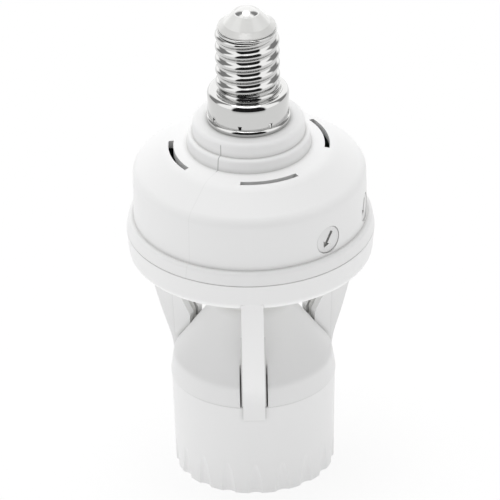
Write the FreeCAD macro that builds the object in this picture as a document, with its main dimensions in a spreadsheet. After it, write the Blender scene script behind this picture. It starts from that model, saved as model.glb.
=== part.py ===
import FreeCAD, Part
import math
import os

import Sketcher

# Motion sensor lamp holder: a small screw cap on top, a round sensor housing
# under it, three struts and a lamp socket that opens downwards.
# All lengths are in millimetres. The mouth of the lamp cup stands on z = 0 and
# the cap points up. One strut faces the front, which is -Y once placed. Every
# piece is drawn with its front along its own +X and turned to the front by its
# placement, and angles are counted from the front strut, anticlockwise from above.

SIZES = {
    # lamp cup
    "cup_height": 21.9,
    "cup_rim_radius": 17.55,
    "cup_draft": 0.6,
    "cup_wall": 1.85,
    "cup_seat": 0.8,
    "cup_edge_rounding": 0.3,
    "cup_notch_gap": 0.02,
    "hood_spigot_gap": 0.1,
    "flute_depth": 0.85,
    "flute_half_width": 1.75,
    "flute_height": 7.6,
    "flute_count": 18,
    # hood over the socket
    "hood_overhang": 0.15,
    "hood_draft": 0.62,
    "hood_shoulder_height": 4.4,
    "hood_shoulder_rounding": 2.45,
    "hood_crown_radius": 7.5,
    "hood_height": 17.5,
    "hood_crown_rounding": 3.0,
    "hood_wall": 1.5,
    "hood_spigot_wall": 1.3,
    "hood_slot_width": 6.0,
    "hood_slot_gap": 0.25,
    "lead_notch_length": 2.75,
    # struts
    "strut_count": 3,
    "strut_width": 4.8,
    "strut_web_width": 5.3,
    "strut_root_inset": 0.5,
    "strut_root_rise": 1.6,
    "strut_knee_stand": 0.85,
    "strut_knee_rise": 3.3,
    "strut_knee_rounding": 15.0,
    "strut_bow": 1.7,
    "strut_bow_rounding": 100.0,
    "strut_foot_stand": 0.3,
    "strut_foot_drop": 3.0,
    "strut_foot_depth": 3.85,
    "strut_inner_rise": 10.5,
    "strut_slope_reach": 2.0,
    "strut_slope_rise": 3.3,
    "strut_neck_reach": 2.2,
    "strut_neck_rise": 4.3,
    "strut_root_depth": 7.0,
    "strut_elbow_rounding": 4.0,
    "strut_web_reach": 2.2,
    "strut_web_depth": 3.5,
    "strut_web_shoulder": 13.9,
    # lower cover
    "flange_radius": 26.6,
    "flange_draft": 0.6,
    "flange_bottom_rounding": 2.0,
    "strut_span": 29.0,
    "lower_height": 6.5,
    "floor_thickness": 2.4,
    "floor_width": 13.4,
    "parting_gap": 0.06,
    "parting_bevel": 0.12,
    "post_radius": 1.5,
    "post_inset": 4.4,
    "post_height": 5.7,
    "pin_radius": 0.8,
    "pin_gap": 0.1,
    "pin_stand": 0.8,
    "strut_angle": 120.0,
    "post_angle": 60.0,
    "lead_radius": 0.8,
    "lead_gap": 0.15,
    # upper cover
    "flange_ledge": 1.56,
    "wall_foot_rise": 3.0,
    "flange_top_inset": 0.5,
    "flange_top_drop": 0.1,
    "flange_top_rounding": 0.9,
    "cover_wall": 1.75,
    "lip_inset": 1.5,
    "lip_depth": 1.8,
    "lip_gap": 0.1,
    "shoulder_rise": 14.57,
    "shoulder_rounding": 2.8,
    "roof_width": 4.6,
    "roof_corner_rise": 19.75,
    "roof_corner_rounding": 5.0,
    "roof_inner_inset": 0.7,
    "collar_foot_rise": 20.17,
    "collar_foot_flare": 0.27,
    "collar_ledge_rise": 23.2,
    "collar_ledge_width": 1.0,
    "collar_ledge_rounding": 0.8,
    "collar_radius": 12.1,
    "collar_rise": 26.6,
    "collar_rounding": 1.0,
    "collar_wall": 1.7,
    "spigot_gap": 0.08,
    "spigot_height": 5.9,
    "spigot_wall": 1.6,
    "boss_inset": 1.89,
    "boss_radius": 2.4,
    "boss_height": 12.0,
    "boss_gap": 0.05,
    "vent_inset": 1.2,
    "vent_width": 1.1,
    "vent_sweep": 44.0,
    "vent_angle": 15.0,
    "vent_count": 4,
    # cover screws
    "screw_head_radius": 2.45,
    "screw_head_height": 1.3,
    "screw_sink": 1.5,
    "screw_sink_gap": 0.25,
    "screw_radius": 1.4,
    "screw_length": 9.5,
    "screw_hole_gap": 0.25,
    "screw_pilot_gap": 0.05,
    "recess_reach": 1.3,
    "recess_half_width": 0.3,
    "recess_depth": 0.8,
    # setting dials
    "dial_rise": 6.66,
    "time_dial_angle": 41.6,
    "lux_dial_angle": 78.4,
    "dial_radius": 3.13,
    "dial_running_gap": 0.07,
    "dial_face_sink": 0.29,
    "dial_neck": 2.0,
    "dial_collar_width": 0.7,
    "dial_collar_radius": 3.7,
    "dial_shaft_radius": 1.5,
    "dial_length": 7.25,
    "dial_face_rounding": 0.2,
    "arrow_depth": 0.45,
    "arrow_half_width": 0.39,
    "arrow_tail": 2.03,
    "arrow_tip": 2.05,
    "arrow_barb": 0.75,
    "arrow_barb_half_width": 1.0,
    "arrow_turn": 236.0,
    # trimmers behind the dials
    "trimmer_depth": 4.2,
    "trimmer_overlap": 1.9,
    "trimmer_width": 7.0,
    "trimmer_height": 6.9,
    "trimmer_bore_gap": 0.1,
    "trimmer_bore_depth": 2.4,
    # screw cap
    "cap_lip_reach": 0.24,
    "cap_lip_height": 0.9,
    "cap_lip_rounding": 0.2,
    "cap_seat_gap": 0.15,
    "cap_groove_depth": 0.14,
    "cap_groove_rise": 1.18,
    "cap_skirt_radius": 8.5,
    "cap_skirt_foot": 1.45,
    "cap_shoulder_rise": 6.85,
    "cap_shoulder_rounding": 0.75,
    "thread_depth": 0.65,
    "cap_neck_rise": 21.2,
    "cap_roll_reach": 0.23,
    "cap_roll_rise": 21.55,
    "cap_height": 22.05,
    "cap_sheet": 0.32,
    "crimp_count": 8,
    "crimp_angle": 32.3,
    "crimp_half_width": 0.38,
    "crimp_depth": 0.2,
    "crimp_level": 1.6,
    "crimp_height": 1.3,
    "thread_pitch": 2.822,
    "thread_crest_radius": 6.92,
    "thread_half_width": 1.15,
    "thread_rounding": 0.63,
    "thread_start_rise": 7.45,
    "thread_start_angle": 90.0,
    "thread_rise": 13.4,
    # cap insulator and tip contact
    "insulator_root": 4.2,
    "insulator_gap": 0.1,
    "insulator_band_inset": 0.02,
    "insulator_band_height": 0.35,
    "insulator_cone_radius": 5.1,
    "insulator_cone_height": 1.3,
    "insulator_top_radius": 2.9,
    "insulator_height": 3.7,
    "tip_radius": 2.6,
    "tip_height": 1.1,
    "tip_stem_radius": 0.8,
    "tip_stem_length": 5.9,
    # lens and sensors
    "lens_gap": 0.15,
    "lens_skirt": 0.4,
    "lens_sag": 8.3,
    "lens_wall": 0.8,
    "lens_flange_reach": 1.6,
    "pir_radius": 4.55,
    "pir_height": 4.2,
    "pir_flange_radius": 4.95,
    "pir_flange_height": 0.4,
    "pir_window_half_length": 2.3,
    "pir_window_half_width": 1.7,
    "pir_window_depth": 0.3,
    "light_sensor_radius": 1.5,
    "light_sensor_height": 3.2,
    "light_sensor_place": 8.5,
    # circuit board and the parts on it
    "board_gap": 2.6,
    "board_thickness": 1.6,
    "relay_centre": -9.5,
    "relay_depth": 8.0,
    "relay_width": 20.0,
    "relay_height": 12.2,
    "film_centre": 9.5,
    "film_side": -4.0,
    "film_depth": 6.0,
    "film_width": 17.0,
    "film_height": 11.0,
    "can_place": 13.0,
    "can_angle": -94.4,
    "can_radius": 4.0,
    "can_height": 11.5,
    "chip_side": 3.0,
    "chip_depth": 4.0,
    "chip_width": 10.0,
    "chip_height": 1.6,
    # leads
    "lead_bend": 2.0,
    "lead_tight_bend": 1.2,
    "lead_end_bend": 0.96,
    "live_angle": -76.0,
    "live_ring": 6.2,
    "neutral_angle": -113.0,
    "neutral_ring": 6.5,
    "cap_lead_bend_rise": 11.9,
    "cap_lead_meet_drop": 3.65,
    "neutral_rise_radius": 3.4,
    "neutral_turn_rise": 10.85,
    "neutral_touch_rise": 13.35,
    "neutral_end_rise": 16.05,
    "lamp_lead_offset": 2.3,
    "lamp_lead_turn_rise": 3.3,
    "lamp_lead_drop_rise": 1.6,
    "lamp_lead_depth": 0.95,
    # socket
    "insert_gap": 0.1,
    "insert_flange_height": 2.2,
    "insert_shell_seat": 1.7,
    "insert_body_step": 2.8,
    "insert_recess_gap": 0.4,
    "insert_recess_rise": 8.8,
    "insert_height": 11.8,
    "insert_top_rounding": 0.8,
    "lamp_thread_pitch": 3.629,
    "lamp_thread_depth": 0.67,
    "lamp_thread_wall": 0.58,
    "lamp_thread_half_width": 1.35,
    "lamp_thread_rounding": 0.6,
    "lamp_shell_space": 1.0,
    "lamp_shell_gap": 0.1,
    "lamp_shell_mouth": 3.2,
    "lamp_shell_rim_width": 2.5,
    "lamp_shell_sheet": 0.4,
    "lamp_thread_run_in": 2.2,
    "lamp_thread_run_out": 2.2,
    "leaf_sheet": 0.4,
    "leaf_width": 6.0,
    "leaf_foot_gap": 2.6,
    "leaf_hold": 2.0,
    "leaf_drop": 2.6,
    "leaf_tip": 3.4,
    "rivet_inset": 1.8,
    "rivet_radius": 1.2,
    "rivet_head_radius": 2.0,
    "rivet_head_height": 0.6,
    "shell_rivet_inset": 1.95,
    "shell_rivet_radius": 0.5,
    "shell_rivet_head_radius": 0.8,
    "shell_rivet_head_height": 0.5,
}

FRONT_TURN = -90.0


class Size:
    """A length with its value now and the wording that gives it in the size sheet."""

    def __init__(self, value, wording):
        self.value = float(value)
        self.wording = wording

    def __add__(self, other):
        other = size(other)
        return Size(self.value + other.value, "(%s + %s)" % (self.wording, other.wording))

    def __sub__(self, other):
        other = size(other)
        return Size(self.value - other.value, "(%s - %s)" % (self.wording, other.wording))

    def __mul__(self, other):
        other = size(other)
        return Size(self.value * other.value, "(%s * %s)" % (self.wording, other.wording))

    def __truediv__(self, other):
        other = size(other)
        return Size(self.value / other.value, "(%s / %s)" % (self.wording, other.wording))

    def __neg__(self):
        return Size(-self.value, "(0 - %s)" % self.wording)


def size(amount):
    """Take a plain number as a size of its own."""
    return amount if isinstance(amount, Size) else Size(amount, "%.6g" % amount)


def given(alias):
    """A size that stands in the sheet under this alias."""
    return Size(SIZES[alias], "Sizes.%s" % alias)


def write_sizes(doc):
    """Put every driving size on the sheet under its own name."""
    sheet = doc.addObject("Spreadsheet::Sheet", "Sizes")
    for row, (alias, value) in enumerate(SIZES.items(), start=1):
        sheet.set("A%d" % row, alias)
        sheet.set("B%d" % row, str(value))
        sheet.setAlias("B%d" % row, alias)
    doc.recompute()


doc = FreeCAD.newDocument("motion_sensor_lamp_holder")
write_sizes(doc)
pieces = []


def new_piece(label, turn=None, level=None):
    """Start a piece, turned about the upright axis and lifted to its level."""
    body = doc.addObject("PartDesign::Body", label)
    body.Label = label
    turn = size(FRONT_TURN) if turn is None else turn + FRONT_TURN
    level = size(0) if level is None else level
    upright = FreeCAD.Vector(0, 0, 1)
    place = FreeCAD.Vector(0, 0, level.value)
    body.Placement = FreeCAD.Placement(place, FreeCAD.Rotation(upright, turn.value))
    body.setExpression("Placement.Base.z", level.wording)
    body.setExpression("Placement.Rotation.Angle", turn.wording)
    pieces.append(body)
    return body


def new_sketch(body, name, plane, turn=None, offset=None):
    """A sketch on one of the piece's own planes, turned and moved off it if asked."""
    sketch = body.newObject("Sketcher::SketchObject", name)
    support = [item for item in body.Origin.OriginFeatures if item.Role == plane][0]
    sketch.AttachmentSupport = [(support, "")]
    sketch.MapMode = "FlatFace"
    turn = size(0) if turn is None else turn
    offset = size(0) if offset is None else offset
    axis = FreeCAD.Vector(0, 1, 0) if plane == "XZ_Plane" else FreeCAD.Vector(0, 0, 1)
    sketch.AttachmentOffset = FreeCAD.Placement(
        FreeCAD.Vector(0, 0, offset.value), FreeCAD.Rotation(axis, turn.value)
    )
    if offset.value:
        sketch.setExpression("AttachmentOffset.Base.z", offset.wording)
    if turn.value:
        sketch.setExpression("AttachmentOffset.Rotation.Angle", turn.wording)
    return sketch


def bind(sketch, constraint, wording):
    """Add a measured constraint and let the size sheet drive it."""
    index = sketch.addConstraint(constraint)
    sketch.setExpression("Constraints[%d]" % index, wording)


def pin_point(sketch, curve, end, across, up):
    """Fix one point of a sketch by its two distances from the origin."""
    if across.value == 0:
        sketch.addConstraint(Sketcher.Constraint("PointOnObject", curve, end, -2))
    else:
        bind(sketch, Sketcher.Constraint("DistanceX", -1, 1, curve, end, across.value), across.wording)
    if up.value == 0:
        sketch.addConstraint(Sketcher.Constraint("PointOnObject", curve, end, -1))
    else:
        bind(sketch, Sketcher.Constraint("DistanceY", -1, 1, curve, end, up.value), up.wording)


def arc_between(start, end, radius):
    """The short arc between two points; its centre is on the left for a positive radius."""
    chord = end - start
    left = FreeCAD.Vector(-chord.y, chord.x, 0).normalize()
    reach = math.sqrt(radius * radius - chord.Length * chord.Length / 4)
    centre = (start + end) / 2 + left * math.copysign(reach, radius)
    first, last = (start, end) if radius > 0 else (end, start)
    circle = Part.Circle(centre, FreeCAD.Vector(0, 0, 1), abs(radius))
    begin = math.atan2(first.y - centre.y, first.x - centre.x)
    finish = math.atan2(last.y - centre.y, last.x - centre.x)
    if finish < begin:
        finish += 2 * math.pi
    return Part.ArcOfCircle(circle, begin, finish)


def tangent_points(before, corner, after, rounding):
    """Where a rounding of this radius leaves the two sides of a corner, and its signed radius."""
    back = (before - corner).normalize()
    ahead = (after - corner).normalize()
    length = rounding / math.tan(back.getAngle(ahead) / 2)
    turning = (corner - before).cross(after - corner).z
    return corner + back * length, corner + ahead * length, math.copysign(rounding, turning)


def outline(sketch, corners, bows=None, closed=True):
    """Draw straight sides between corners, with rounded corners and bowed sides.

    A corner is (across, up) or (across, up, rounding). A bow is given by the
    number of the side it replaces, counted from the first corner.
    """
    bows = bows or {}
    corners = [tuple(size(item) for item in corner) for corner in corners]
    spots = [FreeCAD.Vector(corner[0].value, corner[1].value, 0) for corner in corners]
    count = len(corners)
    sides = count if closed else count - 1
    arrive, leave, bend = list(spots), list(spots), [0.0] * count
    for index, corner in enumerate(corners):
        if len(corner) == 3:
            arrive[index], leave[index], bend[index] = tangent_points(
                spots[index - 1], spots[index], spots[(index + 1) % count], corner[2].value
            )
    starts, ends = {}, {}
    for index in range(sides):
        first, last = leave[index], arrive[(index + 1) % count]
        if index in bows:
            radius = size(bows[index])
            curve = sketch.addGeometry(arc_between(first, last, radius.value), False)
            bent = 1 if radius.value > 0 else 2
            bind(sketch, Sketcher.Constraint("Radius", curve, abs(radius.value)),
                 radius.wording if radius.value > 0 else (-radius).wording)
            starts[index], ends[(index + 1) % count] = (curve, bent), (curve, 3 - bent)
        else:
            curve = sketch.addGeometry(Part.LineSegment(first, last), False)
            starts[index], ends[(index + 1) % count] = (curve, 1), (curve, 2)
    for index, corner in enumerate(corners):
        if len(corner) == 3:
            curve = sketch.addGeometry(arc_between(arrive[index], leave[index], bend[index]), False)
            near, far = (1, 2) if bend[index] > 0 else (2, 1)
            sketch.addConstraint(Sketcher.Constraint("Tangent", *ends[index], curve, near))
            sketch.addConstraint(Sketcher.Constraint("Tangent", curve, far, *starts[index]))
            bind(sketch, Sketcher.Constraint("Radius", curve, corner[2].value), corner[2].wording)
            spot = sketch.addGeometry(Part.Point(spots[index]), True)
            sketch.addConstraint(Sketcher.Constraint("PointOnObject", spot, 1, ends[index][0]))
            sketch.addConstraint(Sketcher.Constraint("PointOnObject", spot, 1, starts[index][0]))
            pin_point(sketch, spot, 1, corner[0], corner[1])
        elif index in starts and index in ends:
            sketch.addConstraint(Sketcher.Constraint("Coincident", *ends[index], *starts[index]))
            pin_point(sketch, *starts[index], corner[0], corner[1])
        else:
            pin_point(sketch, *starts.get(index, ends.get(index)), corner[0], corner[1])
    return sketch


def circle(sketch, across, radius, up=None):
    """Draw one circle of the given radius with its centre on the sketch."""
    up = size(0) if up is None else up
    centre = FreeCAD.Vector(across.value, up.value, 0)
    curve = sketch.addGeometry(Part.Circle(centre, FreeCAD.Vector(0, 0, 1), radius.value), False)
    bind(sketch, Sketcher.Constraint("Radius", curve, radius.value), radius.wording)
    pin_point(sketch, curve, 3, across, up)
    return sketch


def box_corners(low_across, high_across, low_up, high_up):
    """The four corners of an upright rectangle."""
    return [(low_across, low_up), (high_across, low_up), (high_across, high_up), (low_across, high_up)]


def spin(body, name, sketch, kind="Revolution", axis="V_Axis", sweep=None):
    """Turn a sketch about one of its own axes, to add or to cut."""
    feature = body.newObject("PartDesign::" + kind, name)
    feature.Profile = sketch
    feature.ReferenceAxis = (sketch, [axis])
    feature.Angle = 360
    if sweep is not None:
        feature.Midplane = True
        feature.Angle = sweep.value
        feature.setExpression("Angle", sweep.wording)
    sketch.Visibility = False
    return feature


def extrude(body, name, sketch, length, kind="Pad", both_ways=False, backwards=False):
    """Push a sketch out to a length, to add or to cut."""
    feature = body.newObject("PartDesign::" + kind, name)
    feature.Profile = sketch
    feature.Length = length.value
    feature.setExpression("Length", length.wording)
    feature.Midplane = both_ways
    feature.Reversed = backwards
    return feature


def repeat(body, name, features, count):
    """Repeat features evenly round the upright axis."""
    pattern = body.newObject("PartDesign::PolarPattern", name)
    axis = [item for item in body.Origin.OriginFeatures if item.Role == "Z_Axis"][0]
    pattern.Originals = features
    pattern.Axis = (axis, [""])
    pattern.Angle = 360
    pattern.Occurrences = int(count.value)
    pattern.setExpression("Occurrences", count.wording)
    body.Tip = pattern
    return pattern


def block(label, corners, low, height, turn=None):
    """A plain upright block over a flat outline."""
    body = new_piece(label, turn)
    sketch = outline(new_sketch(body, label + "_plan", "XY_Plane", offset=low), corners)
    extrude(body, label + "_block", sketch, height)
    return body


def turned(label, corners, bows=None, turn=None):
    """A piece turned about the upright axis."""
    body = new_piece(label, turn)
    sketch = outline(new_sketch(body, label + "_profile", "XZ_Plane"), corners, bows)
    spin(body, label + "_turning", sketch)
    return body


# Levels that several pieces share.
cup_top = given("cup_height")
foot_level = cup_top - given("strut_foot_drop")
insert_level = foot_level - given("insert_flange_height")
insert_top = insert_level + given("insert_height")
lead_end_level = insert_top + given("rivet_head_height") + given("lead_radius")
slope_foot = cup_top + given("strut_inner_rise")
slope_top = slope_foot + given("strut_slope_rise")
neck_level = slope_top + given("strut_neck_rise")
lower_bottom = cup_top + given("strut_span")
floor_top = lower_bottom + given("floor_thickness")
lamp_lead_turn = floor_top + given("lamp_lead_turn_rise")
lamp_lead_drop = floor_top + given("lamp_lead_drop_rise")
parting_level = lower_bottom + given("lower_height")
dial_level = parting_level + given("dial_rise")
board_level = floor_top + given("post_height")
board_top = board_level + given("board_thickness")
cap_lead_bend = board_top + given("cap_lead_bend_rise")
collar_top = parting_level + given("collar_rise")
roof_inner = parting_level + given("roof_corner_rise") - given("cover_wall")
cap_level = collar_top + given("cap_seat_gap")
cap_lead_meet = cap_level - given("cap_lead_meet_drop")
neutral_turn = cap_level + given("neutral_turn_rise")
neutral_touch = cap_level + given("neutral_touch_rise")
neutral_end = cap_level + given("neutral_end_rise")
cap_top = cap_level + given("cap_height")
insulator_top = cap_top + given("insulator_height")
lamp_shell_top = insert_level + given("insert_shell_seat")
lamp_thread_start = given("lamp_shell_mouth") + given("lamp_thread_run_in")

# Radii of the cup, the hood and the socket in them, from the cup's rim inwards.
cup_mouth = given("cup_rim_radius") - given("cup_draft")
cup_bore = given("cup_rim_radius") - given("cup_wall")
cup_throat = cup_bore - given("cup_seat")
hood_rim = given("cup_rim_radius") + given("hood_overhang")
hood_shoulder = hood_rim - given("hood_draft")
insert_flange = cup_bore - given("insert_gap")
insert_body = insert_flange - given("insert_body_step")
lamp_shell = cup_throat - given("lamp_shell_space")
lamp_root = lamp_shell - given("lamp_thread_wall")
lamp_crest = lamp_root - given("lamp_thread_depth")
lamp_rim = lamp_shell - given("lamp_shell_rim_width")
rivet_ring = lamp_shell - given("shell_rivet_inset")
insert_recess = lamp_rim - given("insert_recess_gap")
leaf_foot = insert_recess - given("leaf_foot_gap")
rivet_place = leaf_foot - given("rivet_inset")
leaf_bend = rivet_place - given("leaf_hold")

# Radii of the sensor housing, from the flange inwards, and of what it holds.
flange_bottom = given("flange_radius") - given("flange_draft")
flange_top = given("flange_radius") - given("flange_top_inset")
lip_outer = given("flange_radius") - given("lip_inset")
lens_opening = given("flange_radius") - given("floor_width")
lens_flange = lens_opening + given("lens_flange_reach")
wall_outer = given("flange_radius") - given("flange_ledge")
wall_inner = wall_outer - given("cover_wall")
boss_ring = wall_inner - given("boss_inset")
post_ring = boss_ring - given("post_inset")
board_edge = boss_ring - given("board_gap")
dial_face = wall_outer - given("dial_face_sink")
dial_collar_face = dial_face - given("dial_neck")
dial_end = dial_face - given("dial_length")
trimmer_outer = dial_end + given("trimmer_overlap")
trimmer_inner = trimmer_outer - given("trimmer_depth")

# Radii of the struts, between the cup's rim and the flange.
strut_foot = given("cup_rim_radius") + given("strut_foot_stand")
strut_knee = given("cup_rim_radius") + given("strut_knee_stand")
strut_inner = strut_foot - given("strut_foot_depth")
strut_slope = strut_inner + given("strut_slope_reach")
strut_neck = strut_slope + given("strut_neck_reach")
strut_root = given("flange_radius") - given("strut_root_inset")
strut_top = strut_root - given("strut_root_depth")
web_shoulder = strut_slope + given("strut_web_reach")
web_foot = strut_inner + given("strut_web_depth")
slot_inner = strut_inner - given("hood_slot_gap")
notch_inner = slot_inner - given("lead_notch_length")
lamp_lead_ring = strut_top - given("lamp_lead_offset")

# Radii of the collar and the screw cap on it.
cap_root = given("thread_crest_radius") - given("thread_depth")
cap_roll = cap_root + given("cap_roll_reach")
cap_lip = given("cap_skirt_radius") + given("cap_lip_reach")
cap_groove = given("cap_skirt_radius") - given("cap_groove_depth")
crimp_floor = given("cap_skirt_radius") - given("crimp_depth")
insulator_band = cap_root - given("insulator_band_inset")
spigot_outer_radius = given("cap_skirt_radius") - given("cap_sheet") - given("spigot_gap")
spigot_bore = spigot_outer_radius - given("spigot_wall")
collar_ledge = given("collar_radius") + given("collar_ledge_width")
collar_foot = collar_ledge + given("collar_foot_flare")
collar_bore = given("collar_radius") - given("collar_wall")
roof_corner = collar_foot + given("roof_width")
roof_inner_corner = roof_corner - given("roof_inner_inset")
vent_ring = roof_corner - given("vent_inset")


def dome_radius(reach, rise):
    """The radius of a ball or round cutter from half the width of its cap and the cap's rise."""
    return (reach * reach + rise * rise) / (rise * 2)


def make_cup():
    """The fluted cup round the lamp's screw cap."""
    rounding = given("cup_edge_rounding")
    cup = turned("socket_cup", [
        (cup_mouth, size(0), rounding),
        (given("cup_rim_radius"), cup_top, rounding),
        (cup_bore, cup_top),
        (cup_bore, insert_level),
        (cup_throat, insert_level),
        (cup_throat, size(0), rounding),
    ])
    half = given("strut_width") / 2 + given("cup_notch_gap")
    notch = outline(
        new_sketch(cup, "cup_notch", "XY_Plane", offset=foot_level),
        box_corners(strut_inner - given("cup_notch_gap"),
                    given("cup_rim_radius") + given("strut_foot_depth"), -half, half),
    )
    cut = extrude(cup, "cup_notch_cut", notch, given("strut_foot_drop") * 2, "Pocket", backwards=True)
    repeat(cup, "cup_notches", [cut], given("strut_count"))
    cutter = dome_radius(given("flute_half_width"), given("flute_depth"))
    flute = circle(new_sketch(cup, "cup_flute", "XY_Plane"),
                   cup_mouth - given("flute_depth") + cutter, cutter)
    groove = extrude(cup, "cup_flute_cut", flute, given("flute_height") * 2, "Pocket")
    lean = (given("flute_depth") + (given("cup_rim_radius") - cup_mouth)
            * given("flute_height") / given("cup_height")) / given("flute_height")
    groove.UseCustomVector = True
    groove.Direction = FreeCAD.Vector(lean.value, 0, 1)
    groove.setExpression("Direction.x", lean.wording)
    repeat(cup, "cup_flutes", [groove], given("flute_count"))
    return cup


def make_hood():
    """The hood that covers the socket and lets the struts through."""
    wall = given("hood_wall")
    spigot_outer = insert_flange
    spigot_inner = spigot_outer - given("hood_spigot_wall")
    hood = turned("socket_hood", [
        (size(0), cup_top + given("hood_height")),
        (given("hood_crown_radius"), cup_top + given("hood_height"), given("hood_crown_rounding")),
        (hood_shoulder, cup_top + given("hood_shoulder_height"),
         given("hood_shoulder_rounding")),
        (hood_rim, cup_top),
        (spigot_outer, cup_top),
        (spigot_outer, foot_level + given("hood_spigot_gap")),
        (spigot_inner, foot_level + given("hood_spigot_gap")),
        (spigot_inner, cup_top),
        (hood_shoulder - wall, cup_top + given("hood_shoulder_height") - wall / 2),
        (given("hood_crown_radius") - wall / 2, cup_top + given("hood_height") - wall),
        (size(0), cup_top + given("hood_height") - wall),
    ])
    half = given("hood_slot_width") / 2
    slot = outline(
        new_sketch(hood, "hood_slot", "XY_Plane"),
        box_corners(slot_inner, hood_rim + wall, -half, half),
    )
    cut = extrude(hood, "hood_slot_cut", slot, cup_top + given("hood_height") * 2, "Pocket",
                  backwards=True)
    half = given("lead_radius") + given("lead_gap") * 2
    notch = outline(
        new_sketch(hood, "lead_notch", "XY_Plane", offset=lead_end_level + half),
        box_corners(notch_inner, slot_inner + wall, -half, half),
    )
    notch_cut = extrude(hood, "lead_notch_cut", notch, given("hood_height"), "Pocket")
    repeat(hood, "hood_slots", [cut, notch_cut], given("strut_count"))
    return hood


def make_lower_cover():
    """The lower half of the housing with its three struts."""
    top = parting_level - given("parting_gap")
    cover = turned("lower_cover", [
        (lens_opening, lower_bottom, given("cup_edge_rounding")),
        (flange_bottom, lower_bottom, given("flange_bottom_rounding")),
        (given("flange_radius"), top - given("parting_bevel")),
        (given("flange_radius") - given("parting_bevel"), top),
        (lip_outer, top),
        (lip_outer, floor_top),
        (lens_opening, floor_top),
    ])
    root_level = lower_bottom + given("strut_root_rise")
    knee_level = cup_top + given("strut_knee_rise")
    middle = (strut_root + strut_knee) / 2 + given("strut_bow")
    rib = outline(new_sketch(cover, "strut_side", "XZ_Plane"), [
        (strut_root, root_level),
        (middle, (root_level + knee_level) / 2, given("strut_bow_rounding")),
        (strut_knee, knee_level, given("strut_knee_rounding")),
        (strut_foot, foot_level),
        (strut_inner, foot_level),
        (strut_inner, slope_foot),
        (strut_slope, slope_top),
        (strut_neck, neck_level, given("strut_elbow_rounding")),
        (strut_top, lower_bottom),
        (strut_top, root_level),
    ])
    strut = extrude(cover, "strut", rib, given("strut_width"), both_ways=True)
    web = outline(new_sketch(cover, "strut_web_side", "XZ_Plane"), [
        (strut_inner, cup_top + given("cup_edge_rounding")),
        (strut_inner, slope_foot),
        (strut_slope, slope_top),
        (strut_neck - given("cup_edge_rounding"), neck_level - given("cup_edge_rounding")),
        (web_shoulder, cup_top + given("strut_web_shoulder")),
        (web_foot, cup_top + given("cup_edge_rounding")),
    ])
    flank = extrude(cover, "strut_web", web, given("strut_web_width"), both_ways=True)
    repeat(cover, "struts", [strut, flank], given("strut_count"))
    depth = given("lead_radius") * 2 + given("lead_gap") * 3
    channel = outline(new_sketch(cover, "lead_channel", "XZ_Plane"), [
        (strut_inner - given("lead_radius"), cup_top + given("hood_shoulder_height")),
        (strut_inner + depth, cup_top + given("hood_shoulder_height")),
        (strut_inner + depth, slope_foot - given("lead_gap")),
        (strut_slope + depth, slope_top - given("lead_gap")),
        (strut_neck + depth, neck_level, given("strut_elbow_rounding")),
        (strut_top + depth, lower_bottom),
        (strut_top + depth, floor_top + given("lead_radius")),
        (strut_top - given("lead_gap"), floor_top + given("lead_radius")),
        (strut_top - given("lead_gap"), lower_bottom),
        (strut_neck - given("lead_radius"), neck_level),
        (strut_slope - given("lead_radius"), slope_top),
        (strut_inner - given("lead_radius"), slope_foot),
    ])
    groove = extrude(cover, "lead_channel_cut", channel, (given("lead_radius") + given("lead_gap")) * 2,
                     "Pocket", both_ways=True)
    repeat(cover, "lead_channels", [groove], given("strut_count"))
    post = circle(new_sketch(cover, "post_plan", "XY_Plane", given("post_angle"), floor_top),
                  post_ring, given("post_radius"))
    post_pad = extrude(cover, "post", post, given("post_height"))
    pin = circle(new_sketch(cover, "pin_plan", "XY_Plane", given("post_angle"), board_level),
                 post_ring, given("pin_radius"))
    pin_pad = extrude(cover, "pin", pin, given("board_thickness") + given("pin_stand"))
    repeat(cover, "posts", [post_pad, pin_pad], given("strut_count"))
    sink = circle(new_sketch(cover, "screw_sink", "XY_Plane", given("post_angle"), lower_bottom),
                  boss_ring, given("screw_head_radius") + given("screw_sink_gap"))
    sink_cut = extrude(cover, "screw_sink_cut", sink, given("screw_sink"), "Pocket", backwards=True)
    hole = circle(new_sketch(cover, "screw_hole", "XY_Plane", given("post_angle"), lower_bottom),
                  boss_ring, given("screw_radius") + given("screw_hole_gap"))
    hole_cut = extrude(cover, "screw_hole_cut", hole, given("floor_thickness") * 2, "Pocket",
                       backwards=True)
    repeat(cover, "screw_holes", [sink_cut, hole_cut], given("strut_count"))
    return cover


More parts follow.
